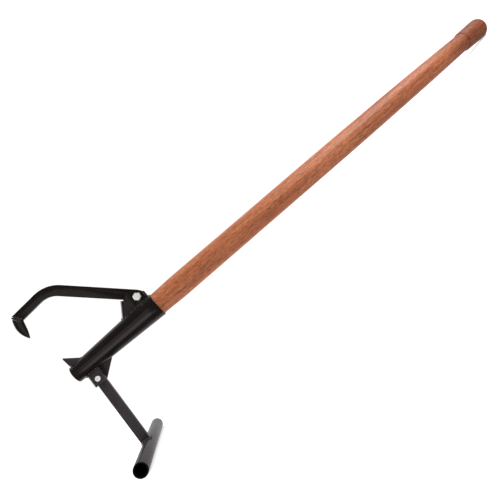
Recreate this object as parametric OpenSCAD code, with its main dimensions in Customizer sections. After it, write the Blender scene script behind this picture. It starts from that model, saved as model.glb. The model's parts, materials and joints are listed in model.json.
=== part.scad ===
/* [Handle] */
// Overall length of the jack along its handle
overall_l = 1210; // [1150:0.1:1280]
// Diameter of the handle at its thickest
handle_d = 50.8; // [49.8:0.1:53]
// Diameter of the handle where it leaves the socket's flare
grip_front_d = 49.6; // [48:0.1:49.7]
// Diameter of the neck in front of the knob
neck_d = 42.2; // [39:0.1:45]
// Diameter of the knob
knob_d = 48.8; // [46:0.1:51]
// Length of the knob
knob_l = 69; // [60:0.1:90]
// Rounding of the knob's end
knob_round = 15; // [10:0.5:18]

/* [Socket] */
// Length of the tapered socket
socket_l = 203.2; // [202:0.1:215]
// Outer diameter of the socket at its lower end
socket_tip_d = 34.4; // [33.5:0.1:35.5]
// Outer diameter of the socket at its rim
socket_rim_d = 51.6; // [51:0.1:52.2]
// Wall of the socket
socket_wall = 2.5; // [2:0.1:3]
// Length of the spike's foot on the socket
spike_foot_l = 23; // [20:0.5:26]
// Distance of the spike's tip from the handle's axis
spike_h = 40.2; // [36:0.1:45]
// Thickness of the spike
spike_t = 10; // [8:0.5:12]

/* [Hook] */
// Width of the hook's bar
bar_w = 22; // [20:0.5:22.5]
// Width of the hook's arm, past the bend
arm_w = 19.6; // [19:0.1:22]
// Thickness of the hook's bar
bar_t = 8; // [7:0.1:8.2]
// Straight length from the pivot to the bend
bar_run = 150.7; // [140:0.1:160]
// Angle of that length above the handle's axis
bar_angle = 135; // [133:0.5:136]
// Radius of the bend's centre line
bend_r = 50; // [45:0.5:55]
// Angle of the bend
bend_angle = 51.2; // [45:0.1:55]
// Straight length from the bend to the claw
arm_l = 51; // [45:0.5:60]
// Length of the claw from the bar's end to its point
claw_l = 43.4; // [36:0.1:50]
// Half of the claw's width at its root
claw_half_w = 9.6; // [8:0.1:10.5]
// Distance of the pivot from the socket's rim
pivot_back = 19.6; // [17:0.1:24]
// Distance of the pivot from the handle's axis
pivot_z = 37.1; // [36.8:0.1:38.5]
// Distance of the pivot from the bar's centre line
pivot_offset = 2.8; // [2:0.1:3]
// Diameter of the hook's bolt
bolt_d = 9.5; // [9:0.1:10]

/* [Leg] */
// Distance from the leg's pin to the foot tube's axis
leg_l = 162.4; // [150:0.1:175]
// Angle of the leg off square to the handle
leg_lean = 3.93; // [2:0.01:6]
// Width of the leg
leg_w = 19.05; // [18:0.05:20]
// Thickness of the leg
leg_t = 9.5; // [9:0.1:10]
// Distance of the leg's pin from the socket's end
pin_x = 29.4; // [28:0.1:34]
// Distance of the leg's pin from the handle's axis
pin_z = 34.2; // [34:0.1:38]
// Diameter of the leg's pin
pin_d = 7.9; // [7:0.1:8.5]
// Outer diameter of the foot tube
foot_d = 26.67; // [25:0.01:28]
// Bore of the foot tube
foot_bore_d = 20.9; // [20:0.1:23]
// Length of the foot tube
foot_l = 254; // [220:1:300]
// Distance of the foot tube's middle from the leg's middle, towards the nut's side
foot_shift = 7.2; // [0:0.1:12]

/* [Brackets] */
// Plate of the hook's bracket
hook_plate = 6; // [5.5:0.1:6.2]
// Plate of the leg's bracket
leg_plate = 4.76; // [4.5:0.01:5]
// Width of both brackets over their ears
bracket_w = 21; // [21:0.1:22]
// Length of the gusset along the socket, from the pin
gusset_l = 41.2; // [30:0.1:50]

/* [Fits] */
// Radial gap of a moving piece on its bolt or pin
swing_gap = 0.08; // [0.04:0.01:0.1]
// Radial gap of a fixed piece on its bolt, pin or screw
fixed_gap = 0.03; // [0.02:0.01:0.08]
// Radial gap of the wood in the socket
wood_gap = 0.05; // [0.02:0.01:0.1]
// Gap between the leg's edge and its stop
stop_gap = 0.3; // [0.2:0.1:0.6]

/* [Hidden] */
$fn = 64;

// All pieces are drawn in the tool's frame: x runs up the handle from the socket's lower end,
// z points to the hook's side.
pivot = [socket_l - pivot_back, pivot_z];
pin = [pin_x, -pin_z];
foot = pin - leg_l * [sin(leg_lean), cos(leg_lean)];
foot_r = foot_d / 2;
bracket_half = bracket_w / 2;

// The jack stands on the foot tube and on the knob's lower edge.
knob_edge = [overall_l - knob_round, knob_round - knob_d / 2];
stand = knob_edge - foot;
lean = atan2(stand[1], stand[0]) + asin((foot_r - knob_round) / norm(stand));

// Handle
nose_x = 6;
flare_x = socket_l + 59;
swell_x = socket_l + 462;
knob_x = overall_l - knob_l;
neck_x = knob_x - 6;
knob_front_d = knob_d - 1.8;
mouth_r = socket_rim_d / 2 - socket_wall - wood_gap;
taper_power = 2.6;

// Screw through the socket's far side into the wood
screw_x = socket_l - 31;
screw_r = 2.4;
screw_head_r = 4.6;
screw_head_h = 2.6;
screw_l = 26;

// Spike
spike_x = 4.8;
spike_tip_x = 1.6;
spike_bevel = 4.6;

// Bolt and nut of the hook
head_af = 14.29;
head_h = 6.2;
hex_turn = 41.6;
nut_h = 8;
collar_h = 2;
thread_out = 2;

// Hook's bracket
web_angle = 55.7;
web_top = pivot + [-30.9, 15.2];
web_bend = 7;
ear_corner_r = 13;
ear_corner = pivot + [-9, 7];
ear_tip_r = 8.6;
ear_tip = pivot + [5.2, 1.3];
// The far ear's corner is squarer and nearer to the rim.
far_tip_r = 3.4;
far_tip = pivot + [12.2, 0.4];

// Leg's bracket and gusset
ear_below = 11.2;
ear_right = 12.1;
leg_bend = 5.5;
seam = 0.2;
gusset_slope = 37.9;
gusset_end = pin_x + gusset_l;

// Pin, washer and cotter of the leg
pin_head_r = 5.15;
pin_head_h = 2.6;
pin_washer_t = 1.6;
pin_washer_r = 8;
pin_out = 8;
cotter_r = 1.2;
cotter_l = 24;
cotter_eye_r = 2.6;

// Radii of the round weld beads, then sides of the square ones
foot_bead_r = 2.6;
claw_bead_r = 2.4;
large_bead = 3;
small_bead = 2.3;

// Length of the brackets' flanges before they are cut
channel_reach = 70;

function ease(t) = (1 - cos(180 * t)) / 2;
function along(a, b, t) = a + (b - a) * t;
function socket_r(x) = along(socket_tip_d, socket_rim_d, x / socket_l) / 2;
function wood_r(x) =
    x < flare_x ? along(mouth_r, grip_front_d / 2, ease((x - socket_l) / (flare_x - socket_l))) :
    x < swell_x ? along(grip_front_d, handle_d, ease((x - flare_x) / (swell_x - flare_x))) / 2 :
    along(handle_d, neck_d, pow((x - swell_x) / (neck_x - swell_x), taper_power)) / 2;
// A point on the socket's surface, y to the side, on the hook's side (1) or the leg's side (-1)
function skin(x, y, side) = [x, y, side * sqrt(pow(socket_r(x), 2) - y * y)];
function arc(c, r, a0, a1, n = 8) =
    [for (i = [0:n]) let (a = along(a0, a1, i / n)) c + r * [cos(a), sin(a)]];

module in_place() {
    rotate([0, lean, 0]) translate([-foot[0], -foot_shift, -foot[1]]) children();
}

// Turned about the handle's axis
module turned() {
    rotate([0, 90, 0]) rotate_extrude($fn = 96) children();
}

// An outline in the xz plane, given the thickness t from y = y0
module plate(y0, t) {
    translate([0, y0 + t, 0]) rotate([90, 0, 0]) linear_extrude(t) children();
}

// A round bar along y, from y0 to y1
module cross_bar(at, r, y0, y1, sides = 48) {
    translate([at[0], y0, at[1]]) rotate([-90, 0, 0]) cylinder(r = r, h = y1 - y0, $fn = sides);
}

module hexagon(at, y0, h, turn) {
    translate([at[0], y0, at[1]]) rotate([-90, 0, 0]) rotate([0, 0, turn])
        cylinder(d = head_af / cos(30), h = h, $fn = 6);
}

module socket_cone() {
    rotate([0, 90, 0]) cylinder(r1 = socket_tip_d / 2, r2 = socket_rim_d / 2, h = socket_l, $fn = 96);
}

// A weld bead along a chain of points
module bead(points, r) {
    for (i = [1:len(points) - 1]) {
        a = points[i - 1];
        d = points[i] - a;
        translate(a) rotate([0, acos(d[2] / norm(d)), atan2(d[1], d[0])])
            translate([0, 0, -r / 3]) rotate(22.5) cylinder(r = r, h = norm(d) + 2 * r / 3, $fn = 8);
    }
}

// Half the outline of a U section: from its web, at x = shift, to the end of its flange
function flange(shift, half, bend) =
    concat(arc([shift + bend, half - bend], bend, 180, 90, 6), [[channel_reach, half]]);
function mirrored(line) = [for (i = [len(line) - 1:-1:0]) [line[i][0], -line[i][1]]];
function u_outline(shift, half, bend) =
    let (line = flange(shift, half, bend)) concat(mirrored(line), line);

// A section drawn along a bracket's web, whose outer face passes through a point at an angle
module along_web(at, angle) {
    length = 180;
    translate([at[0], 0, at[1]]) rotate([0, 90 - angle, 0]) translate([0, 0, -length / 2])
        linear_extrude(length) children();
}

module bent_channel(at, angle, plate_t, bend) {
    inner = u_outline(plate_t, bracket_half - plate_t, max(bend - plate_t, 0.5));
    along_web(at, angle) polygon(concat(u_outline(0, bracket_half, bend),
        [for (i = [len(inner) - 1:-1:0]) inner[i]]));
}

// A bead of square section on the socket, around the foot of what is welded on:
// the first child is its outside grown by g, the second its plain outside
module foot_bead(g) {
    difference() {
        intersection() {
            children(0);
            rotate([0, 90, 0])
                cylinder(r1 = socket_tip_d / 2 + g, r2 = socket_rim_d / 2 + g, h = socket_l, $fn = 96);
        }
        children(1);
        socket_cone();
    }
}

// The whole outside of a bracket, grown by g, from the socket's end to x_end on one side of it
module bracket_block(at, angle, bend, g, x_end, side) {
    intersection() {
        along_web(at, angle) polygon(u_outline(-g, bracket_half + g, bend + g));
        plate(-bracket_w, 2 * bracket_w) translate([0, min(side, 0) * 60]) square([x_end, 60]);
    }
}

module handle() color("sienna") in_place() difference() {
    lip = 1;
    turned() polygon(concat(
        [[0, nose_x], [socket_r(nose_x) - socket_wall - wood_gap, nose_x]],
        [for (i = [0:4]) let (x = along(socket_l, flare_x, i / 4)) [wood_r(x), x]],
        [for (i = [1:5]) let (x = along(flare_x, swell_x, i / 5)) [wood_r(x), x]],
        [for (i = [1:12]) let (x = along(swell_x, neck_x, i / 12)) [wood_r(x), x]],
        [[neck_d / 2, knob_x], [knob_front_d / 2 - lip, knob_x], [knob_front_d / 2, knob_x + lip]],
        [for (i = [1:3]) [along(knob_front_d, knob_d, ease(i / 3)) / 2,
            along(knob_x + lip, knob_edge[0], i / 3)]],
        [for (a = [75:-15:0]) [knob_round * sin(a) - knob_edge[1], knob_edge[0] + knob_round * cos(a)]],
        [[0, overall_l]]));
    cross_bar([screw_x, 0], screw_r + fixed_gap, screw_hole_y, 40, 32);
}

module socket() color("dimgray") in_place() difference() {
    end = 0.01;
    socket_cone();
    rotate([0, 90, 0]) translate([0, 0, -end])
        cylinder(r1 = socket_tip_d / 2 - socket_wall, r2 = socket_rim_d / 2 - socket_wall,
            h = socket_l + 2 * end, $fn = 96);
    cross_bar([screw_x, 0], screw_r + fixed_gap, 0, 40, 32);
}

screw_head_y = socket_r(screw_x + screw_head_r);
screw_hole_y = screw_head_y - screw_l - 1;

module handle_screw() color("silver") in_place() {
    cross_bar([screw_x, 0], screw_r, screw_head_y - screw_l, screw_head_y + 1, 32);
    cross_bar([screw_x, 0], screw_head_r, screw_head_y, screw_head_y + screw_head_h, 32);
}

module spike_outline() {
    end = spike_x + spike_foot_l;
    polygon([[spike_x, 5], [spike_tip_x, spike_h], [end, socket_r(end)], [end, 5]]);
}

module socket_spike() color("dimgray") in_place() difference() {
    end = spike_x + spike_foot_l;
    slope = atan2(spike_h - socket_r(end), end - spike_tip_x);
    plate(-spike_t / 2, spike_t) spike_outline();
    for (side = [-1, 1]) translate([spike_tip_x, side * spike_t / 2, spike_h]) rotate([0, slope, 0])
        rotate([side * 45, 0, 0]) cube([90, spike_bevel, spike_bevel], center = true);
    socket_cone();
}

module spike_block(g) {
    plate(-spike_t / 2 - g, spike_t + 2 * g) translate([spike_x, 0]) square([spike_foot_l + g, 40]);
}

module spike_weld() color("dimgray") in_place() foot_bead(small_bead) {
    spike_block(small_bead);
    plate(-spike_t / 2, spike_t) spike_outline();
}

// An ear of the hook's bracket: two curves with a straight edge between them, and a square end
module hook_ear(tip, tip_r) {
    foot_z = 10;
    run = tip - ear_corner;
    tangent = atan2(run[1], run[0]) + acos((ear_corner_r - tip_r) / norm(run));
    polygon(concat(
        [web_top - (web_top[1] - foot_z) / sin(web_angle) * [cos(web_angle), sin(web_angle)], web_top],
        arc(ear_corner, ear_corner_r, 160, tangent),
        arc(tip, tip_r, tangent, 0),
        [[tip[0] + tip_r, foot_z]]));
}

module hook_bracket() color("dimgray") in_place() difference() {
    intersection() {
        bent_channel(web_top, web_angle, hook_plate, web_bend);
        union() {
            plate(-bracket_half - 1, bracket_half + 1) hook_ear(ear_tip, ear_tip_r);
            plate(0, bracket_half + 1) hook_ear(far_tip, far_tip_r);
        }
    }
    // The web and its bends end here, square to the web
    translate([web_top[0], 0, web_top[1]]) rotate([0, 90 - web_angle, 0])
        translate([-20, -30, 0]) cube([20 + web_bend, 60, 40]);
    socket_cone();
    cross_bar(pivot, bolt_d / 2 + fixed_gap, -40, 40);
}

module hook_bracket_weld() color("dimgray") in_place() foot_bead(large_bead) {
    bracket_block(web_top, web_angle, web_bend, large_bead, far_tip[0] + far_tip_r, 1);
    bracket_block(web_top, web_angle, web_bend, 0, socket_l, 1);
}

// The hook is drawn from its pivot: x along its straight run, y towards the inside of its bend.
arm_dir = [cos(bend_angle), sin(bend_angle)];
arm_side = [-sin(bend_angle), cos(bend_angle)];
bend_at = [bar_run, bend_r - pivot_offset];
arm_end = bend_at - bend_r * arm_side + arm_l * arm_dir;
bar_half = bar_w / 2;
arm_half = arm_w / 2;
mitre = 4.2;
// The bar's end is rounded about the pivot, and its outer corner is cut off.
bar_end_r = bar_half - 1.7;
bar_end_from = 180 - asin((bar_half - pivot_offset) / bar_end_r);
bar_end_to = 222;
// Half of the flat at the claw's point
claw_tip_w = 0.6;
claw_steps = 16;
claw_sides = 24;
// The claw's centre line in the arm's directions: root, middle control point and point
claw_curve = [[0.7, 1.2], [9.5, 11.1], [10.7, claw_l]];

module hook_place() {
    translate([pivot[0], 0, pivot[1]]) rotate([0, -bar_angle, 0]) children();
}

// An edge of the bend, on its outside (1) or its inside (-1): the bar narrows to the arm on its way
function bend_edge(side, steps = 10) =
    [for (i = [0:steps]) let (t = i / steps, a = 270 + bend_angle * t)
        bend_at + (bend_r + side * along(bar_half, arm_half, t)) * [cos(a), sin(a)]];

module hook_outline() {
    inside = bend_edge(-1);
    polygon(concat(
        arc([0, 0], bar_end_r, bar_end_from, bar_end_to, 12),
        [[1, -bar_half - pivot_offset]],
        bend_edge(1),
        [arm_end - arm_half * arm_side + mitre * arm_dir, arm_end + arm_half * arm_side - mitre * arm_dir],
        [for (i = [len(inside) - 1:-1:0]) inside[i]]));
}

module hook_plate_solid() {
    hook_place() plate(-bar_t / 2, bar_t) hook_outline();
}

module hook_bar() color("dimgray") in_place() difference() {
    hook_plate_solid();
    cross_bar(pivot, bolt_d / 2 + swing_gap, -20, 20);
}

function on_arm(p) = arm_end + p[0] * arm_dir + p[1] * arm_side;
function claw_at(t) = on_arm((1 - t) * (1 - t) * claw_curve[0] + 2 * t * (1 - t) * claw_curve[1]
    + t * t * claw_curve[2]);
function claw_dir(t) = let (d = claw_at(t + 0.01) - claw_at(t - 0.01)) d / norm(d);
// One section of the claw: nearly square at the root, oval at the point
function claw_ring(t) =
    let (w = claw_half_w * (1 - pow(t, 4)) + claw_tip_w * t, c = claw_at(t), d = claw_dir(t),
        h = along(bar_t / 2, 1.2, pow(max(t, 0), 3)), k = along(0.35, 0.9, max(t, 0)))
    [for (i = [0:claw_sides - 1]) let (a = 360 * (i + 0.5) / claw_sides,
        u = w * sign(cos(a)) * pow(abs(cos(a)), k), v = h * sign(sin(a)) * pow(abs(sin(a)), k))
        [c[0] + u * d[1], v, c[1] - u * d[0]]];

module claw_body() {
    start = -0.22;
    rings = [for (i = [0:claw_steps]) claw_ring(along(start, 1, i / claw_steps))];
    n = claw_sides;
    hook_place() polyhedron([for (r = rings, p = r) p], concat(
        [[for (j = [n - 1:-1:0]) j]],
        [for (i = [0:claw_steps - 1], j = [0:n - 1]) let (k = (j + 1) % n)
            [i * n + j, i * n + k, (i + 1) * n + k]],
        [for (i = [0:claw_steps - 1], j = [0:n - 1]) let (k = (j + 1) % n)
            [i * n + j, (i + 1) * n + k, (i + 1) * n + j]],
        [[for (j = [0:n - 1]) claw_steps * n + j]]));
}

// The claw begins where the bar's mitred end stops.
module hook_claw() color("dimgray") in_place() difference() {
    low = 2 * [mitre, -arm_half];
    high = 2 * [-mitre, arm_half];
    behind = [30, 0];
    claw_body();
    hook_place() plate(-bar_w / 2, bar_w)
        polygon([on_arm(low), on_arm(high), on_arm(high - behind), on_arm(low - behind)]);
}

// Two beads side by side along the mitre, on both faces
module claw_weld() color("dimgray") in_place() difference() {
    outer = 8.5;
    hook_place() for (side = [-1, 1]) for (step = [-1.6, 2.6]) {
        a = on_arm([mitre * outer / arm_half + step, -outer]);
        b = on_arm([step - mitre * outer / arm_half, outer]);
        y = side * (bar_t / 2 - 0.6);
        bead([[a[0], y, a[1]], [b[0], y, b[1]]], claw_bead_r);
    }
    hook_place() translate([0, -bar_t / 2, -100]) cube([400, bar_t, 400]);
}

module hook_bolt() color("silver") in_place() {
    hexagon(pivot, -bracket_half - head_h, head_h, hex_turn);
    cross_bar(pivot, bolt_d / 2, -bracket_half - 2, bracket_half + nut_h + collar_h + thread_out);
}

module hook_lock_nut() color("dimgray") in_place() difference() {
    face = bracket_half + nut_h;
    union() {
        hexagon(pivot, bracket_half, nut_h, hex_turn);
        cross_bar(pivot, head_af / 2 - 0.6, face - 1, face + collar_h);
    }
    cross_bar(pivot, bolt_d / 2 + fixed_gap, 0, 40);
}

// A point of the leg's bracket: a distance s from the pin square to the leg, at a height z
function leg_side(s, z) = [pin_x + s / cos(leg_lean) + (z + pin_z) * tan(leg_lean), z];
web_s = -(leg_w / 2 + stop_gap + leg_plate);
ear_bottom = -pin_z - ear_below;
// The ears start inside the socket, which cuts them to its shape
ear_top = -5;

module leg_ears() {
    polygon([leg_side(web_s, ear_top), leg_side(web_s, ear_bottom), leg_side(ear_right, ear_bottom),
        leg_side(ear_right, ear_top)]);
}

// Everything above the gusset's slanted edge
module above_slant() {
    run = 80;
    z0 = 0.6 - socket_r(gusset_end);
    polygon([[gusset_end, 20], [gusset_end, z0],
        [gusset_end - run, z0 - run * tan(gusset_slope)], [gusset_end - run - 20, 20]]);
}

module leg_bracket() color("dimgray") in_place() difference() {
    intersection() {
        bent_channel(leg_side(web_s, -pin_z), 90 - leg_lean, leg_plate, leg_bend);
        union() {
            plate(-bracket_half - 1, bracket_half + 1) leg_ears();
            plate(0, bracket_half + 1) intersection() {
                leg_ears();
                above_slant();
            }
        }
    }
    socket_cone();
    cross_bar(pin, pin_d / 2 + fixed_gap, -40, 40);
}

module gusset_outline() {
    intersection() {
        polygon([leg_side(ear_right + seam, -1), leg_side(ear_right + seam, -100), [200, -100], [200, -1]]);
        above_slant();
    }
}

module leg_gusset() color("dimgray") in_place() difference() {
    plate(bracket_half - leg_plate, leg_plate) gusset_outline();
    socket_cone();
}

module leg_bracket_weld() color("dimgray") in_place() foot_bead(small_bead) {
    bracket_block(leg_side(web_s, -pin_z), 90 - leg_lean, leg_bend, small_bead, pin_x + ear_right, -1);
    bracket_block(leg_side(web_s, -pin_z), 90 - leg_lean, leg_bend, 0, socket_l, -1);
}

module gusset_weld() color("dimgray") in_place() difference() {
    y = bracket_half;
    start = leg_side(ear_right, -socket_r(pin_x))[0] + 4;
    bead([skin(start, y, -1), skin(gusset_end, y, -1)], claw_bead_r);
    plate(y - 20, 20) translate([0, -80]) square([gusset_end + 10, 80]);
    socket_cone();
}

module leg_place() {
    translate([pin_x, 0, -pin_z]) rotate([0, leg_lean, 0]) children();
}

module leg_strip() {
    plate(-leg_t / 2, leg_t) translate([-leg_w / 2, -leg_l]) square([leg_w, leg_l]);
}

module leg_bar() color("dimgray") in_place() difference() {
    leg_place() {
        leg_strip();
        cross_bar([0, 0], leg_w / 2, -leg_t / 2, leg_t / 2);
    }
    cross_bar(foot, foot_r, -20, 20, 96);
    cross_bar(pin, pin_d / 2 + swing_gap, -20, 20);
}

cotter_y = bracket_half + pin_washer_t + 2 * cotter_r;

module leg_pin() color("silver") in_place() difference() {
    union() {
        cross_bar(pin, pin_head_r, -bracket_half - pin_head_h, -bracket_half);
        cross_bar(pin, pin_d / 2, -bracket_half - 1, bracket_half + pin_washer_t + pin_out);
    }
    translate([pin_x, cotter_y, -pin_z])
        cylinder(r = cotter_r + fixed_gap, h = cotter_l, center = true, $fn = 24);
}

module pin_washer() color("silver") in_place() difference() {
    cross_bar(pin, pin_washer_r, bracket_half, bracket_half + pin_washer_t);
    cross_bar(pin, pin_d / 2 + fixed_gap, 0, 40);
}

module pin_cotter() color("silver") in_place() translate([pin_x, cotter_y, -pin_z]) {
    cylinder(r = cotter_r, h = cotter_l, center = true, $fn = 24);
    translate([0, 0, -cotter_l / 2 - cotter_eye_r + cotter_r / 2]) rotate([90, 0, 0])
        rotate_extrude($fn = 32) translate([cotter_eye_r, 0]) circle(r = cotter_r, $fn = 16);
}

module foot_tube() color("dimgray") in_place() difference() {
    near = foot_shift - foot_l / 2;
    cross_bar(foot, foot_r, near, near + foot_l, 96);
    cross_bar(foot, foot_bore_d / 2, near - 1, near + foot_l + 1, 96);
}

module foot_weld() color("dimgray") in_place() difference() {
    y = leg_t / 2 + 0.2;
    reach = asin(leg_w / 2 / foot_r);
    ring = arc(foot, foot_r, 90 - leg_lean - reach, 90 - leg_lean + reach, 4);
    bead(concat([for (p = ring) [p[0], -y, p[1]]], [for (i = [4:-1:0]) [ring[i][0], y, ring[i][1]]],
        [[ring[0][0], -y, ring[0][1]]]), foot_bead_r);
    leg_place() leg_strip();
    cross_bar(foot, foot_r, -20, 20, 96);
}

handle();
socket();
handle_screw();
socket_spike();
spike_weld();
hook_bracket();
hook_bracket_weld();
hook_bar();
hook_claw();
claw_weld();
hook_bolt();
hook_lock_nut();
leg_bracket();
leg_bracket_weld();
leg_gusset();
gusset_weld();
leg_bar();
leg_pin();
pin_washer();
pin_cotter();
foot_tube();
foot_weld();
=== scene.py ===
import json
import random
from math import acos, asin, atan2, cos, hypot, pi, radians, sin, sqrt

import bmesh
import bpy
from mathutils import Matrix, Vector


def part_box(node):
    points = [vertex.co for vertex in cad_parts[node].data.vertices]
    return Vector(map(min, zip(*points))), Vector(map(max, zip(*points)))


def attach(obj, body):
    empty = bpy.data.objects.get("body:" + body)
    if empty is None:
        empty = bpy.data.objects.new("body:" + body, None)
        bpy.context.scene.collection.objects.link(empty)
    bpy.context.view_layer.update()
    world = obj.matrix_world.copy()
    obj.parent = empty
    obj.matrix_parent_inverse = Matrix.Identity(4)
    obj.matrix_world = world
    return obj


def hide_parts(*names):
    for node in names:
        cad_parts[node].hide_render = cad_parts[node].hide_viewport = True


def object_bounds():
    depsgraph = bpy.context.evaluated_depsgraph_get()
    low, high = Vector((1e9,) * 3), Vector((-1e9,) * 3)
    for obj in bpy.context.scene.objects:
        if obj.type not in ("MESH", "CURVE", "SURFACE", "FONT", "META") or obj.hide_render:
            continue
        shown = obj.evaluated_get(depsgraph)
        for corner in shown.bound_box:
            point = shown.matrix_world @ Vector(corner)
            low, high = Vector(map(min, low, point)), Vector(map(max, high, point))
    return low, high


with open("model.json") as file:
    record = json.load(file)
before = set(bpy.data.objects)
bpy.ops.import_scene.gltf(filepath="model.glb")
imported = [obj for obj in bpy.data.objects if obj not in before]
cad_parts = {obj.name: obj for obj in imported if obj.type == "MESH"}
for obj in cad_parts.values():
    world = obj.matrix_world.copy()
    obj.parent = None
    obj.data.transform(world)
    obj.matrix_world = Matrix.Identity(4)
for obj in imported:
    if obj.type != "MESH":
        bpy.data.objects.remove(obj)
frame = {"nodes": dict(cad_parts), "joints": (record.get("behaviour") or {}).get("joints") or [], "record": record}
cad_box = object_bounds()

MM = 0.001
random.seed(7)

# The tool's own frame, in millimetres: x runs up the handle from the socket's lower end, y away
# from the camera, z to the hook's side. The row frame is the same, turned about y and moved.
PIVOT = (183.6, 37.1)
PIN = (29.4, -34.2)
OVERALL_L = 1210.0
KNOB_X = OVERALL_L - 69.0
SOCKET_L = 203.2
SOCKET_TIP_R = 17.2
SOCKET_RIM_R = 25.8
SOCKET_WALL = 2.5
BRACKET_HALF = 10.5
HOOK_PLATE = 6.0
LEG_PLATE = 4.76
BAR_HALF_T = 4.0
LEG_W = 19.05
LEG_T = 9.5
FOOT_R = 13.335


def joint_place(name):
    joint = next(j for j in frame["joints"] if j["name"] == name)
    return Vector(joint["pos_m"])


def tool_frame():
    """The turn about y, and the move, that put the tool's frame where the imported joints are."""
    a, b = joint_place("leg_fold"), joint_place("hook_swing")
    tool_slope = atan2(PIVOT[1] - PIN[1], PIVOT[0] - PIN[0])
    lean = tool_slope - atan2(b.z - a.z, b.x - a.x)
    turn = Matrix.Rotation(lean, 4, "Y")
    return Matrix.Translation(a) @ turn @ Matrix.Translation(Vector((-PIN[0], 0, -PIN[1])) * MM)


TOOL = tool_frame()
TO_TOOL = TOOL.inverted()


def place(x, y, z):
    return TOOL @ Vector((x * MM, y * MM, z * MM))


def turned(x, y, z):
    return (TOOL.to_3x3() @ Vector((x, y, z))).normalized()


def mix(a, b, t):
    return a + (b - a) * t


def ease(t):
    return (1 - cos(pi * t)) / 2


def socket_r(x):
    return mix(SOCKET_TIP_R, SOCKET_RIM_R, x / SOCKET_L)


def skin(x, y, side, proud=0.0):
    """A point on or proud of the socket's surface, on the hook's side (1) or the leg's side (-1)."""
    return (x, y, side * (sqrt(socket_r(x) ** 2 - y * y) + proud))


# Camera: the photograph's viewpoint, in the tool's frame.
CAMERA_AT = (271.5, -842.0, -52.1)
CAMERA_AIM = (417.55, 0.0, -40.54)
CAMERA_ROLL = 41.67
CAMERA_LENS = 29.29


def make_camera():
    data = bpy.data.cameras.new("camera")
    data.lens = CAMERA_LENS
    data.sensor_width = 36
    data.clip_start = 0.01
    camera = bpy.data.objects.new("camera", data)
    bpy.context.scene.collection.objects.link(camera)
    at, aim = place(*CAMERA_AT), place(*CAMERA_AIM)
    forward = (aim - at).normalized()
    roll = radians(CAMERA_ROLL)
    hint = turned(sin(roll), 0, cos(roll))
    right = forward.cross(hint).normalized()
    up = right.cross(forward)
    turn = Matrix((right, up, -forward)).transposed()
    camera.matrix_world = Matrix.Translation(at) @ turn.to_4x4()
    bpy.context.scene.camera = camera
    return right, up, forward, at


make_camera()

# How bright the room is in front of the tool and behind it, to everything but the camera
ROOM_FRONT = 0.1
ROOM_BACK = 0.8


def new_light(name, kind, at, aim):
    """A light at a place in the tool's frame, turned to another."""
    data = bpy.data.lights.new(name, kind)
    light = bpy.data.objects.new(name, data)
    bpy.context.scene.collection.objects.link(light)
    light.location = place(*at)
    light.rotation_euler = (place(*aim) - light.location).to_track_quat("-Z", "Y").to_euler()
    return data


def area_light(name, at, aim, size, power):
    data = new_light(name, "AREA", at, aim)
    data.shape = "RECTANGLE"
    data.size, data.size_y = size
    data.energy = power


def make_light():
    """A white studio: white behind the tool, dim in front, soft panels, and a wide light from above."""
    bpy.context.scene.view_settings.view_transform = "Standard"
    world = bpy.data.worlds.new("studio")
    bpy.context.scene.world = world
    world.use_nodes = True
    tree = world.node_tree
    way = tree.nodes.new("ShaderNodeTexCoord")
    split = tree.nodes.new("ShaderNodeSeparateXYZ")
    tree.links.new(way.outputs["Generated"], split.inputs["Vector"])
    room = tree.nodes.new("ShaderNodeMapRange")
    room.interpolation_type = "SMOOTHSTEP"
    room.inputs["From Min"].default_value = -0.1
    room.inputs["From Max"].default_value = 0.4
    room.inputs["To Min"].default_value = ROOM_FRONT
    room.inputs["To Max"].default_value = ROOM_BACK
    tree.links.new(split.outputs["Y"], room.inputs["Value"])
    rays = tree.nodes.new("ShaderNodeLightPath")
    strength = tree.nodes.new("ShaderNodeMapRange")
    tree.links.new(room.outputs["Result"], strength.inputs["To Min"])
    strength.inputs["To Max"].default_value = 1.05
    tree.links.new(rays.outputs["Is Camera Ray"], strength.inputs["Value"])
    background = tree.nodes["Background"]
    background.inputs["Color"].default_value = (1, 1, 1, 1)
    tree.links.new(strength.outputs["Result"], background.inputs["Strength"])
    sun = new_light("top", "SUN", (300, 350, 1000), (300, 0, 0))
    sun.energy = 3.6
    sun.angle = radians(140)
    # This wide light only fills: its own glare would hide the panels' shine on the paint.
    bpy.data.objects["top"].visible_glossy = False
    area_light("key", (1450, -560, 900), (850, 0, 0), (1.0, 0.7), 16)
    area_light("front_low", (-145, -860, -420), (60, 0, -20), (0.5, 0.6), 1.2)
    area_light("front_high", (-145, -880, 150), (60, 0, 20), (0.5, 0.45), 0.35)
    area_light("left", (-950, 150, 350), (80, 0, 20), (0.8, 1.4), 20)


make_light()


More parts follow.
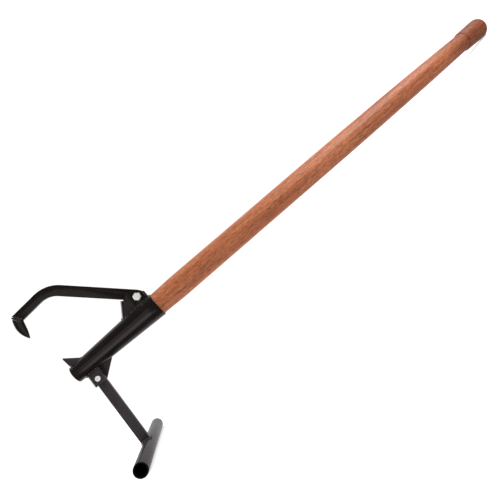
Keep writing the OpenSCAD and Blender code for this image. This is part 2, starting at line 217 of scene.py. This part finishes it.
class Nodes:
    """Builds one material's nodes."""

    def __init__(self, name):
        self.material = bpy.data.materials.new(name)
        self.material.use_nodes = True
        self.tree = self.material.node_tree
        self.shader = self.tree.nodes["Principled BSDF"]
        coords = self.tree.nodes.new("ShaderNodeTexCoord")
        self.mapping = self.tree.nodes.new("ShaderNodeMapping")
        self.mapping.vector_type = "POINT"
        # Tool coordinates in metres, whatever the row frame is
        euler = TO_TOOL.to_euler()
        self.mapping.inputs["Rotation"].default_value = euler
        self.mapping.inputs["Location"].default_value = TO_TOOL.to_translation()
        self.tree.links.new(coords.outputs["Object"], self.mapping.inputs["Vector"])
        self.base = self.mapping.outputs["Vector"]

    def link(self, a, b):
        self.tree.links.new(a, b)

    def scaled(self, scale):
        node = self.tree.nodes.new("ShaderNodeMapping")
        node.inputs["Scale"].default_value = scale
        self.link(self.base, node.inputs["Vector"])
        return node.outputs["Vector"]

    def noise(self, vector, scale, detail=4.0, rough=0.55, distortion=0.0):
        node = self.tree.nodes.new("ShaderNodeTexNoise")
        node.inputs["Scale"].default_value = scale
        node.inputs["Detail"].default_value = detail
        node.inputs["Roughness"].default_value = rough
        node.inputs["Distortion"].default_value = distortion
        self.link(vector, node.inputs["Vector"])
        return node.outputs["Fac"]

    def ramp(self, value, stops):
        node = self.tree.nodes.new("ShaderNodeValToRGB")
        ramp = node.color_ramp
        while len(ramp.elements) < len(stops):
            ramp.elements.new(0.5)
        for element, (at, colour) in zip(ramp.elements, stops):
            element.position = at
            element.color = (*colour, 1) if len(colour) == 3 else colour
        self.link(value, node.inputs["Fac"])
        return node.outputs["Color"]

    def grey_ramp(self, value, a, b, low=0.0, high=1.0):
        node = self.tree.nodes.new("ShaderNodeMapRange")
        node.inputs["From Min"].default_value = a
        node.inputs["From Max"].default_value = b
        node.inputs["To Min"].default_value = low
        node.inputs["To Max"].default_value = high
        self.link(value, node.inputs["Value"])
        return node.outputs["Result"]

    def blend(self, factor, a, b, kind="MIX"):
        node = self.tree.nodes.new("ShaderNodeMix")
        node.data_type = "RGBA"
        node.blend_type = kind
        for socket, value in ((node.inputs[0], factor), (node.inputs[6], a), (node.inputs[7], b)):
            if hasattr(value, "links"):
                self.link(value, socket)
            else:
                socket.default_value = value if isinstance(value, float) else (*value, 1)
        return node.outputs[2]

    def bump(self, height, strength, distance, previous=None):
        node = self.tree.nodes.new("ShaderNodeBump")
        node.inputs["Strength"].default_value = strength
        node.inputs["Distance"].default_value = distance
        self.link(height, node.inputs["Height"])
        if previous is not None:
            self.link(previous, node.inputs["Normal"])
        return node.outputs["Normal"]

    def set(self, name, value):
        socket = self.shader.inputs[name]
        if hasattr(value, "links"):
            self.link(value, socket)
        else:
            socket.default_value = (*value, 1) if isinstance(value, tuple) else value


def wood():
    n = Nodes("varnished_wood")
    fibre = n.noise(n.scaled((24, 520, 520)), 1.0, 4.0, 0.6)
    fleck = n.noise(n.scaled((75, 1000, 1000)), 1.0, 2.0, 0.5, 0.2)
    streak = n.noise(n.scaled((5, 130, 130)), 1.0, 3.0, 0.5, 0.4)
    broad = n.noise(n.scaled((2.2, 30, 30)), 1.0, 2.0, 0.5)
    pores = n.noise(n.scaled((130, 900, 900)), 1.0, 2.0, 0.5)
    tone = n.ramp(streak, [(0.25, (0.27, 0.071, 0.021)), (0.5, (0.38, 0.113, 0.038)), (0.75, (0.48, 0.168, 0.066))])
    fine = n.ramp(fibre, [(0.3, (0.6, 0.5, 0.45)), (0.55, (1.0, 1.0, 1.0)), (0.8, (1.2, 1.22, 1.25))])
    colour = n.blend(0.42, tone, fine, "MULTIPLY")
    wide = n.ramp(broad, [(0.3, (0.8, 0.76, 0.73)), (0.7, (1.12, 1.12, 1.12))])
    colour = n.blend(0.7, colour, wide, "MULTIPLY")
    pore = n.ramp(pores, [(0.34, (0.45, 0.38, 0.34)), (0.48, (1, 1, 1)), (0.7, (1.15, 1.17, 1.2))])
    colour = n.blend(0.7, colour, pore, "MULTIPLY")
    dark = n.ramp(fleck, [(0.38, (0.4, 0.33, 0.29)), (0.5, (1.0, 1.0, 1.0)), (0.66, (1.2, 1.2, 1.2))])
    colour = n.blend(0.65, colour, dark, "MULTIPLY")
    # The knob took more stain.
    split = n.tree.nodes.new("ShaderNodeSeparateXYZ")
    n.link(n.base, split.inputs["Vector"])
    knob = n.grey_ramp(split.outputs["X"], (KNOB_X - 100) * MM, (KNOB_X + 20) * MM)
    stain = n.ramp(knob, [(0.0, (1, 1, 1)), (1.0, (0.52, 0.43, 0.37))])
    colour = n.blend(1.0, colour, stain, "MULTIPLY")
    n.set("Base Color", colour)
    n.set("Roughness", n.grey_ramp(fibre, 0.3, 0.7, 0.38, 0.54))
    n.set("Specular IOR Level", 0.42)
    n.set("Normal", n.bump(fleck, 0.45, 0.0005))
    return n.material


def paint(name, colour, light, rough, specular, tint):
    """Dark semi-gloss paint with a faint orange peel and dust."""
    n = Nodes(name)
    cloud = n.noise(n.scaled((1, 1, 1)), 38, 4.0, 0.55)
    peel = n.noise(n.scaled((1, 1, 1)), 700, 2.0, 0.5)
    dust = n.noise(n.scaled((1, 1, 1)), 170, 6.0, 0.7)
    tone = n.ramp(cloud, [(0.3, colour), (0.75, light)])
    speck = n.ramp(dust, [(0.66, (0, 0, 0)), (0.82, (0.012, 0.011, 0.01))])
    n.set("Base Color", n.blend(0.15, tone, speck, "ADD"))
    n.set("Roughness", n.grey_ramp(dust, 0.3, 0.7, rough - 0.03, rough + 0.04))
    n.set("Specular IOR Level", specular)
    n.set("Specular Tint", tint)
    n.set("Normal", n.bump(peel, 0.025, 0.0002))
    return n.material


def zinc():
    n = Nodes("zinc")
    cloud = n.noise(n.scaled((1, 1, 1)), 260, 4.0, 0.6)
    n.set("Base Color", n.ramp(cloud, [(0.3, (0.86, 0.84, 0.78)), (0.7, (0.96, 0.95, 0.91))]))
    n.set("Metallic", 0.55)
    n.set("Roughness", n.grey_ramp(cloud, 0.3, 0.7, 0.3, 0.48))
    n.set("Normal", n.bump(cloud, 0.1, 0.0002))
    return n.material


WOOD = wood()
DARK = paint("dark_steel", (0.005, 0.0034, 0.003), (0.008, 0.0058, 0.0052), 0.18, 0.4, (1.0, 0.93, 0.9))
GREY = paint("grey_steel", (0.023, 0.0188, 0.0212), (0.032, 0.0266, 0.0296), 0.24, 0.17, (1.0, 0.93, 0.97))
# Near-black paint: painted shade for the foot tube's bore, and the same colour on its cut ends.
BORE_SHADE_AND_ENDS = paint("tube_bore_shade_and_ends", (0.0012, 0.001, 0.001), (0.002, 0.0017, 0.0017), 0.5, 0.12, (1.0, 0.95, 0.95))
BEAD = paint("weld_paint", (0.012, 0.0095, 0.0095), (0.022, 0.018, 0.018), 0.2, 0.4, (1.0, 0.95, 0.95))
ZINC = zinc()
MATERIALS = {"varnished_wood": WOOD, "dark_steel": DARK, "grey_steel": GREY, "zinc": ZINC}
SLOTS = {s["node"]: s["material_slot"] for s in frame["record"]["subparts"]}
BODIES = {node: body for body, nodes in frame["record"]["behaviour"]["bodies"].items() for node in nodes}


def finish_piece(name, bm, node, smooth_angle=40, material=None):
    """Turns a bmesh in the row frame into the piece that replaces a node."""
    bmesh.ops.recalc_face_normals(bm, faces=bm.faces)
    mesh = bpy.data.meshes.new(name)
    bm.to_mesh(mesh)
    bm.free()
    for polygon in mesh.polygons:
        polygon.use_smooth = True
    mesh.set_sharp_from_angle(angle=radians(smooth_angle))
    obj = bpy.data.objects.new(name, mesh)
    bpy.context.scene.collection.objects.link(obj)
    mesh.materials.append(material or MATERIALS[SLOTS[node]])
    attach(obj, BODIES[node])
    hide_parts(node)
    return obj


def lathe(profile, segments=96):
    """A bmesh turned about the handle's axis from (x, radius) points, closed at radius zero."""
    bm = bmesh.new()
    rings = []
    for x, r in profile:
        if r <= 0:
            rings.append([bm.verts.new(place(x, 0, 0))])
            continue
        rings.append([bm.verts.new(place(x, r * sin(2 * pi * i / segments), r * cos(2 * pi * i / segments)))
                      for i in range(segments)])
    for a, b in zip(rings, rings[1:]):
        for i in range(segments):
            j = (i + 1) % segments
            if len(a) == 1 and len(b) == 1:
                continue
            if len(a) == 1:
                bm.faces.new((a[0], b[j], b[i]))
            elif len(b) == 1:
                bm.faces.new((a[i], a[j], b[0]))
            else:
                bm.faces.new((a[i], a[j], b[j], b[i]))
    return bm


def corner(x, r, radius, a0, a1, steps=6):
    """Points of a rounded corner about a centre, angles from the x axis towards the radius."""
    return [(x + radius * cos(mix(a0, a1, i / steps)), r + radius * sin(mix(a0, a1, i / steps)))
            for i in range(steps + 1)]


# Handle: the same outline as its solid, with finer steps.
HANDLE_R = 25.4
GRIP_FRONT_R = 24.8
NECK_R = 21.1
KNOB_R = 24.4
KNOB_FRONT_R = 23.5
KNOB_ROUND = 15.0
NECK_X = KNOB_X - 6
FLARE_X = 262.0
SWELL_X = 665.0
MOUTH_R = SOCKET_RIM_R - SOCKET_WALL - 0.05
NOSE_X = 6.0


def wood_r(x):
    if x < FLARE_X:
        return mix(MOUTH_R, GRIP_FRONT_R, ease((x - SOCKET_L) / (FLARE_X - SOCKET_L)))
    if x < SWELL_X:
        return mix(GRIP_FRONT_R, HANDLE_R, ease((x - FLARE_X) / (SWELL_X - FLARE_X)))
    return mix(HANDLE_R, NECK_R, ((x - SWELL_X) / (NECK_X - SWELL_X)) ** 2.6)


def make_handle():
    profile = [(NOSE_X, 0), (NOSE_X, socket_r(NOSE_X) - SOCKET_WALL - 0.05)]
    steps = 150
    profile += [(mix(SOCKET_L, NECK_X, i / steps), wood_r(mix(SOCKET_L, NECK_X, i / steps)))
                for i in range(steps + 1)]
    cove = 1.4
    profile += corner(KNOB_X - cove, NECK_R + cove, cove, -pi / 2, 0, 5)
    lip = 1.6
    profile += corner(KNOB_X + lip, KNOB_FRONT_R - lip, lip, pi, pi / 2, 6)
    knob_end = OVERALL_L - KNOB_ROUND
    steps = 14
    profile += [(mix(KNOB_X + lip, knob_end, i / steps), mix(KNOB_FRONT_R, KNOB_R, ease(i / steps)))
                for i in range(1, steps)]
    profile += corner(knob_end, KNOB_R - KNOB_ROUND, KNOB_ROUND, pi / 2, 0.02, 12)
    profile += [(OVERALL_L, 0)]
    finish_piece("handle_turned", lathe(profile, 112), "handle", 50)


def make_socket():
    r0, r1 = SOCKET_TIP_R, SOCKET_RIM_R
    edge = 0.9
    inner0, inner1 = r0 - SOCKET_WALL, r1 - SOCKET_WALL
    outer = [(mix(edge, SOCKET_L - edge, i / 8), mix(r0, r1, mix(edge, SOCKET_L - edge, i / 8) / SOCKET_L))
             for i in range(9)]
    profile = corner(edge, r0 - edge, edge, pi, pi / 2, 4) + outer[1:-1]
    profile += corner(SOCKET_L - edge, r1 - edge, edge, pi / 2, 0, 4)
    profile += [(SOCKET_L, inner1 + 0.3), (SOCKET_L - 0.3, inner1), (0.3, inner0), (0, inner0 + 0.3)]
    bm = lathe(profile + profile[:1], 112)
    bmesh.ops.remove_doubles(bm, verts=bm.verts, dist=1e-7)
    finish_piece("socket_tube", bm, "socket", 50)


def softened(node, edge_mm, segments=3, limit=30):
    """A copy of a CAD node with its sharp edges rounded."""
    bm = bmesh.new()
    bm.from_mesh(frame["nodes"][node].data)
    bmesh.ops.remove_doubles(bm, verts=bm.verts, dist=2e-6)
    bmesh.ops.dissolve_limit(bm, angle_limit=radians(0.5), verts=bm.verts, edges=bm.edges)
    sharp = [e for e in bm.edges if len(e.link_faces) == 2 and e.calc_face_angle() > radians(limit)]
    bmesh.ops.bevel(bm, geom=sharp, offset=edge_mm * MM, segments=segments, profile=0.5,
                    affect="EDGES", clamp_overlap=True)
    return finish_piece(node + "_soft", bm, node, 35)


# Edge rounding of the pieces that keep their CAD outline, in millimetres
EDGES = {
    "socket_spike": 0.5,
    "hook_bracket": 0.5,
    "hook_bar": 1.2,
    "leg_bracket": 0.5,
    "leg_gusset": 0.5,
    "leg_bar": 0.8,
    "hook_bolt": 0.6,
    "hook_lock_nut": 0.5,
    "pin_washer": 0.3,
    "leg_pin": 0.7,
    "handle_screw": 0.6,
    "foot_tube": 0.4,
}

# The hook, drawn from its pivot: x along its straight run, y towards the inside of its bend.
BAR_ANGLE = radians(135)
BAR_RUN = 150.7
BEND_R = 50.0
BEND_ANGLE = radians(51.2)
PIVOT_OFFSET = 2.8
ARM_L = 51.0
ARM_HALF = 9.8
MITRE = 4.2
ARM_DIR = Vector((cos(BEND_ANGLE), sin(BEND_ANGLE)))
ARM_SIDE = Vector((-ARM_DIR.y, ARM_DIR.x))
ARM_END = Vector((BAR_RUN, BEND_R - PIVOT_OFFSET)) - BEND_R * ARM_SIDE + ARM_L * ARM_DIR


def on_arm(along_arm, across):
    """A point given from the arm's end, in the tool's frame."""
    p = ARM_END + along_arm * ARM_DIR + across * ARM_SIDE
    return Vector((PIVOT[0] + p.x * cos(BAR_ANGLE) - p.y * sin(BAR_ANGLE),
                   PIVOT[1] + p.x * sin(BAR_ANGLE) + p.y * cos(BAR_ANGLE)))


# Claw: the same formula as its solid, with finer steps.
CLAW_ROOT = on_arm(0.7, 1.2)
CLAW_MID = on_arm(9.5, 11.1)
CLAW_TIP = on_arm(10.7, 43.4)
CLAW_HALF_W = 9.6


def make_claw():
    bm = bmesh.new()
    steps, sides = 48, 48
    rings = []
    for s in range(steps + 1):
        t = s / steps
        w = CLAW_HALF_W * (1 - t ** 4) + 0.6 * t
        h = mix(BAR_HALF_T, 1.2, t ** 3)
        k = mix(0.35, 0.95, min(1.0, 3 * t))
        c = (1 - t) ** 2 * CLAW_ROOT + 2 * t * (1 - t) * CLAW_MID + t * t * CLAW_TIP
        d = ((1 - t) * (CLAW_MID - CLAW_ROOT) + t * (CLAW_TIP - CLAW_MID)).normalized()
        ring = []
        for i in range(sides):
            a = 2 * pi * i / sides
            u = w * (1 if cos(a) >= 0 else -1) * abs(cos(a)) ** k
            v = h * (1 if sin(a) >= 0 else -1) * abs(sin(a)) ** k
            ring.append(bm.verts.new(place(c.x + u * d.y, v, c.y - u * d.x)))
        rings.append(ring)
    for a, b in zip(rings, rings[1:]):
        for i in range(sides):
            j = (i + 1) % sides
            bm.faces.new((a[i], a[j], b[j], b[i]))
    bm.faces.new(rings[0])
    bm.faces.new(rings[-1])
    finish_piece("claw_talon", bm, "hook_claw", 50)


def path_samples(points, pitch):
    """Even samples along a chain of points, each with its direction."""
    samples = []
    for a, b in zip(points, points[1:]):
        a, b = Vector(a), Vector(b)
        count = max(2, int((b - a).length / pitch))
        samples += [(a.lerp(b, i / count), (b - a).normalized()) for i in range(count)]
    samples.append((Vector(points[-1]), (Vector(points[-1]) - Vector(points[-2])).normalized()))
    return samples


def bead(bm, points, r, pitch, depth, sides=16):
    """A weld bead along a chain of points: overlapping ripples, a little uneven, with round ends."""
    samples = path_samples(points, 0.35)
    total = len(samples)
    rings = []
    previous = None
    wave = random.random() * 6
    swell = 1.0
    for k, (p, d) in enumerate(samples):
        if previous is None:
            side = d.cross(Vector((0.3, 0.5, 0.8))).normalized()
        else:
            side = (previous - d * previous.dot(d)).normalized()
        previous = side
        other = d.cross(side)
        along = k * 0.35
        if k % 6 == 0:
            swell = 1 + random.uniform(-0.09, 0.09)
        ripple = abs(sin(pi * along / pitch + 0.3 * sin(along + wave)))
        end = min(k, total - 1 - k) * 0.35 / r
        cap = sqrt(max(0.02, 1 - max(0.0, 1 - end) ** 2))
        radius = r * cap * (1 - depth + depth * ripple ** 0.7) * swell
        rings.append([bm.verts.new(place(*(p + side * (radius * cos(2 * pi * i / sides))
                                           + other * (radius * sin(2 * pi * i / sides)))))
                      for i in range(sides)])
    for a, b in zip(rings, rings[1:]):
        for i in range(sides):
            j = (i + 1) % sides
            bm.faces.new((a[i], a[j], b[j], b[i]))
    bm.faces.new(rings[0])
    bm.faces.new(rings[-1])


def make_weld(node, chains, pitch, depth):
    bm = bmesh.new()
    for points, r in chains:
        bead(bm, points, r, pitch, depth)
    finish_piece(node + "_bead", bm, node, 60, BEAD)


def make_welds():
    y = 5.3
    make_weld("spike_weld", [
        ([skin(4, -y, 1), skin(24, -y, 1)], 2.4),
        ([skin(24, -y, 1), skin(27.6, -y + 1, 1), skin(28, 0, 1), skin(27.6, y - 1, 1), skin(24, y, 1)], 1.5),
        ([skin(4, y, 1), skin(24, y, 1)], 2.4)], 4, 0.3)
    b = BRACKET_HALF + 0.5
    make_weld("hook_bracket_weld", [(
        [skin(196, -b, 1, -1.2), skin(133.4, -b, 1, -1.2), skin(132.6, 0, 1), skin(133.4, b, 1), skin(198, b, 1)],
        2.7)], 4.5, 0.32)
    make_weld("leg_bracket_weld", [(
        [skin(40, -b, -1, 2), skin(16, -b, -1, 2), skin(15, 0, -1), skin(16, b, -1, 2), skin(40, b, -1, 2)],
        3.1)], 6, 0.4)
    make_weld("gusset_weld", [([skin(46, b, -1, 1), skin(70, b, -1, 1)], 2.8)], 5, 0.35)
    for_claw = []
    outer = 8.2
    for side in (-1, 1):
        for step in (-1.6, 2.6):
            v = side * (BAR_HALF_T - 0.9)
            a = on_arm(MITRE * outer / ARM_HALF + step, -outer)
            c = on_arm(step - MITRE * outer / ARM_HALF, outer)
            for_claw.append(([(a.x, v, a.y), (c.x, v, c.y)], 2.1))
    make_weld("claw_weld", for_claw, 3.2, 0.04)
    foot = TO_TOOL @ Vector((0, 0, 0)) / MM
    lean = asin((PIN[0] - foot.x) / hypot(PIN[0] - foot.x, PIN[1] - foot.z))
    half = asin(LEG_W / 2 / FOOT_R)
    ring = [(foot.x + FOOT_R * sin(mix(-half, half, i / 6) + lean), foot.z + FOOT_R * cos(mix(-half, half, i / 6) + lean))
            for i in range(7)]
    v = LEG_T / 2 + 0.2
    chain = [(x, -v, z) for x, z in ring] + [(x, v, z) for x, z in reversed(ring)]
    make_weld("foot_weld", [(chain + chain[:1], 2.6)], 4, 0.3)


def tube(bm, points, r, sides=16):
    """A round wire along a chain of points in the tool's frame, with flat ends."""
    rings = []
    previous = None
    for k, p in enumerate(points):
        d = (points[min(k + 1, len(points) - 1)] - points[max(k - 1, 0)]).normalized()
        if previous is None:
            previous = d.cross(Vector((0, 1, 0))).normalized()
        side = (previous - d * previous.dot(d)).normalized()
        previous = side
        other = d.cross(side)
        rings.append([bm.verts.new(place(*(p + r * (side * cos(2 * pi * i / sides) + other * sin(2 * pi * i / sides)))))
                      for i in range(sides)])
    for a, b in zip(rings, rings[1:]):
        for i in range(sides):
            j = (i + 1) % sides
            bm.faces.new((a[i], a[j], b[j], b[i]))
    bm.faces.new(rings[0])
    bm.faces.new(rings[-1])


# The pin's cotter: a split wire with an eye, through the pin's end, its legs bent apart
COTTER_R = 1.15
COTTER_HALF = 12.0
COTTER_EYE_R = 2.6


def make_cotter():
    low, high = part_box("pin_cotter")
    y = (low[1] + high[1]) / 2 / MM - (TOOL @ Vector((0, 0, 0))).y / MM
    bm = bmesh.new()
    wire = COTTER_R / 2
    for side in (-1, 1):
        leg = [Vector((PIN[0] + side * wire, y, PIN[1] + z)) for z in (-11, -8, -4, 0, 4)]
        leg += [Vector((PIN[0] + side * (wire + 3.2 * t * t), y, PIN[1] + 4 + (COTTER_HALF - 4) * t))
                for t in (0.2, 0.4, 0.6, 0.8, 1.0)]
        tube(bm, leg, wire)
    turn = [Vector((PIN[0] + COTTER_EYE_R * sin(a), y, PIN[1] - COTTER_HALF - 1.6 + COTTER_EYE_R * cos(a)))
            for a in [mix(0.2, 2 * pi - 0.2, i / 30) for i in range(31)]]
    tube(bm, turn, wire)
    finish_piece("cotter_wire", bm, "pin_cotter", 50)


def paint_bore_shade_and_ends(tube_object):
    """Paints the foot tube's inside nearly black as painted shade in its bore, and gives its cut ends the same
    near-black colour.
    """
    mesh = tube_object.data
    mesh.materials.append(BORE_SHADE_AND_ENDS)
    for polygon in mesh.polygons:
        centre = polygon.center
        # Faces inside the bore get painted shade; faces on the cut ends get the same near-black colour.
        end_on = abs(polygon.normal.y) > 0.6
        inside = hypot(centre.x, centre.z) < (FOOT_R - 1.5) * MM
        if end_on or inside:
            polygon.material_index = 1


def make_floor():
    size = 60.0
    low = cad_box[0][2]
    mesh = bpy.data.meshes.new("floor")
    mesh.from_pydata([(-size, -size, low), (size, -size, low), (size, size, low), (-size, size, low)], [],
                     [(0, 1, 2, 3)])
    floor = bpy.data.objects.new("floor", mesh)
    bpy.context.scene.collection.objects.link(floor)
    n = Nodes("pale_floor")
    n.set("Base Color", (0.5, 0.5, 0.5))
    n.set("Roughness", 0.9)
    # A lightbox floor: its own glow keeps the shadows pale.
    n.set("Emission Color", (1.0, 1.0, 1.0))
    n.set("Emission Strength", 0.5)
    mesh.materials.append(n.material)
    floor.visible_glossy = False


make_handle()
make_socket()
for edge_node, edge in EDGES.items():
    soft_piece = softened(edge_node, edge)
    if edge_node == "foot_tube":
        paint_bore_shade_and_ends(soft_piece)
make_claw()
make_welds()
make_cotter()
make_floor()
for node_name, node_object in frame["nodes"].items():
    node_object.data.materials.clear()
    node_object.data.materials.append(MATERIALS[SLOTS[node_name]])
